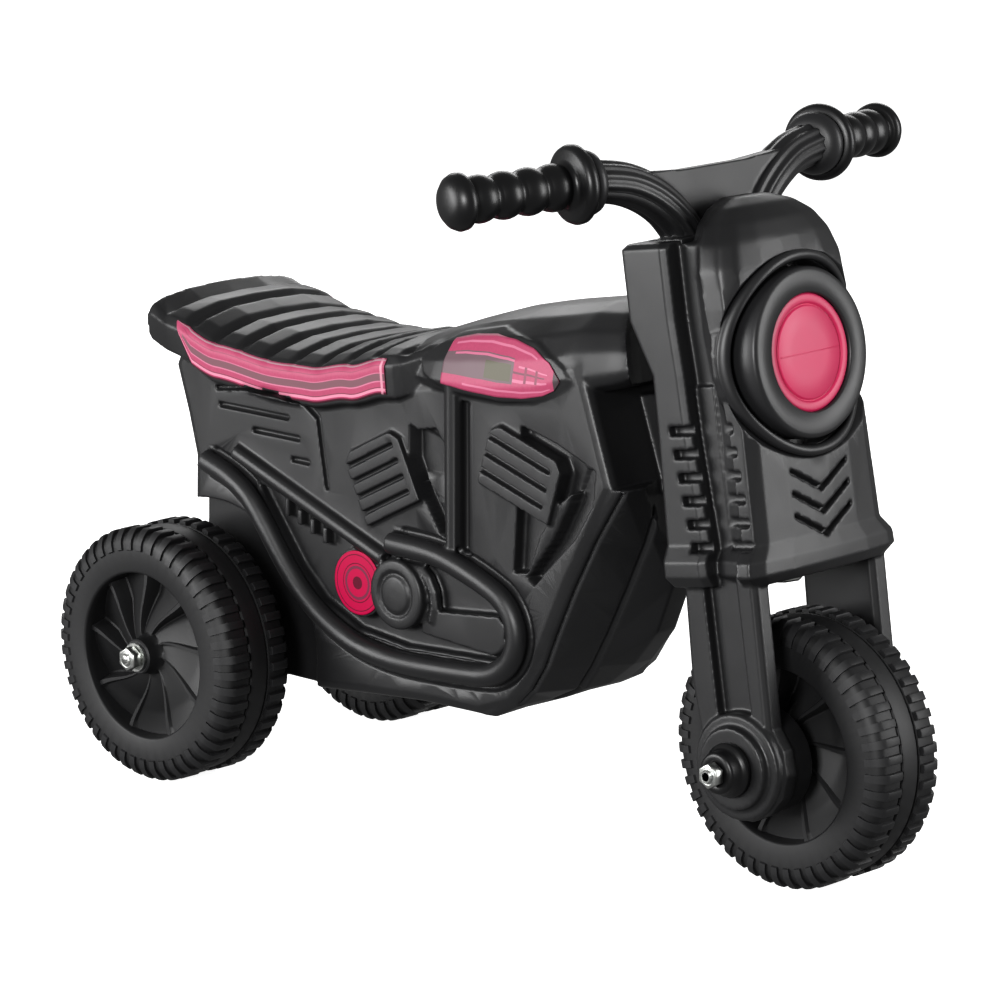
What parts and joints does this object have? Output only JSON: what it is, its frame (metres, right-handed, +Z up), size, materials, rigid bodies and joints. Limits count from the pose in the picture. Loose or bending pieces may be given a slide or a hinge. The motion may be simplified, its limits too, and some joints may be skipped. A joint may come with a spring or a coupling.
{
  "type": "ride-on mini bike",
  "caption": "Child's push-along ride-on mini bike with a moulded motorcycle body, rear wheels, a steered fork cowl with headlamp, and swept handlebar grips.",
  "frame": {"origin": "on the ground, midway between the front and rear axles, on the centre plane", "axes": "+X forwards, +Y to the rider's left, +Z up"},
  "size_m": [0.5938, 0.3834, 0.4352],
  "materials": {
    "black_polyethylene": "glossy blow-moulded polyethylene",
    "black_wheel_plastic": "satin moulded plastic",
    "dark_grip_plastic": "satin moulded plastic",
    "grey_nylon": "plain nylon",
    "zinc_plated_steel": "bright zinc plate",
    "pink_lens": "opaque pink plastic",
    "pink_vinyl": "printed vinyl",
    "magenta_vinyl": "printed vinyl"
  },
  "bodies": {
    "frame": {"body_shell": "black_polyethylene", "seat_stripe_left": "pink_vinyl", "seat_stripe_right": "pink_vinyl", "tank_decal_left": "pink_vinyl", "tank_decal_right": "pink_vinyl", "engine_badge_left": "magenta_vinyl", "engine_badge_right": "magenta_vinyl", "rear_axle": "zinc_plated_steel", "rear_washer_left": "zinc_plated_steel", "rear_washer_right": "zinc_plated_steel", "rear_nut_left": "zinc_plated_steel", "rear_nut_right": "zinc_plated_steel", "steering_bush_upper": "grey_nylon", "steering_bush_lower": "grey_nylon"},
    "steering": {"fork_cowl": "black_polyethylene", "headlamp_lens": "pink_lens", "handlebar": "black_polyethylene", "grip_left": "dark_grip_plastic", "grip_right": "dark_grip_plastic", "steering_pin": "zinc_plated_steel", "steering_washer": "zinc_plated_steel", "steering_nut": "zinc_plated_steel", "front_axle": "zinc_plated_steel", "front_cup_left": "dark_grip_plastic", "front_cup_right": "dark_grip_plastic", "front_nut_left": "zinc_plated_steel", "front_nut_right": "zinc_plated_steel"},
    "front_wheel": {"front_wheel": "black_wheel_plastic"},
    "rear_wheel_left": {"rear_wheel_left": "black_wheel_plastic"},
    "rear_wheel_right": {"rear_wheel_right": "black_wheel_plastic"}
  },
  "joints": [
    {"name": "steering", "type": "hinge", "parent": "frame", "child": "steering", "pos_m": [0.217, 0, 0.07992], "axis": [-0.1616, 0, 0.9869], "range_deg": [-30, 30]},
    {"name": "front_wheel_spin", "type": "hinge", "parent": "steering", "child": "front_wheel", "pos_m": [0.217, 0, 0.07992], "axis": [0, 1, 0], "continuous": true},
    {"name": "rear_wheel_left_spin", "type": "hinge", "parent": "frame", "child": "rear_wheel_left", "pos_m": [-0.217, 0.097, 0.07992], "axis": [0, 1, 0], "continuous": true},
    {"name": "rear_wheel_right_spin", "type": "hinge", "parent": "frame", "child": "rear_wheel_right", "pos_m": [-0.217, -0.097, 0.07992], "axis": [0, 1, 0], "continuous": true}
  ]
}
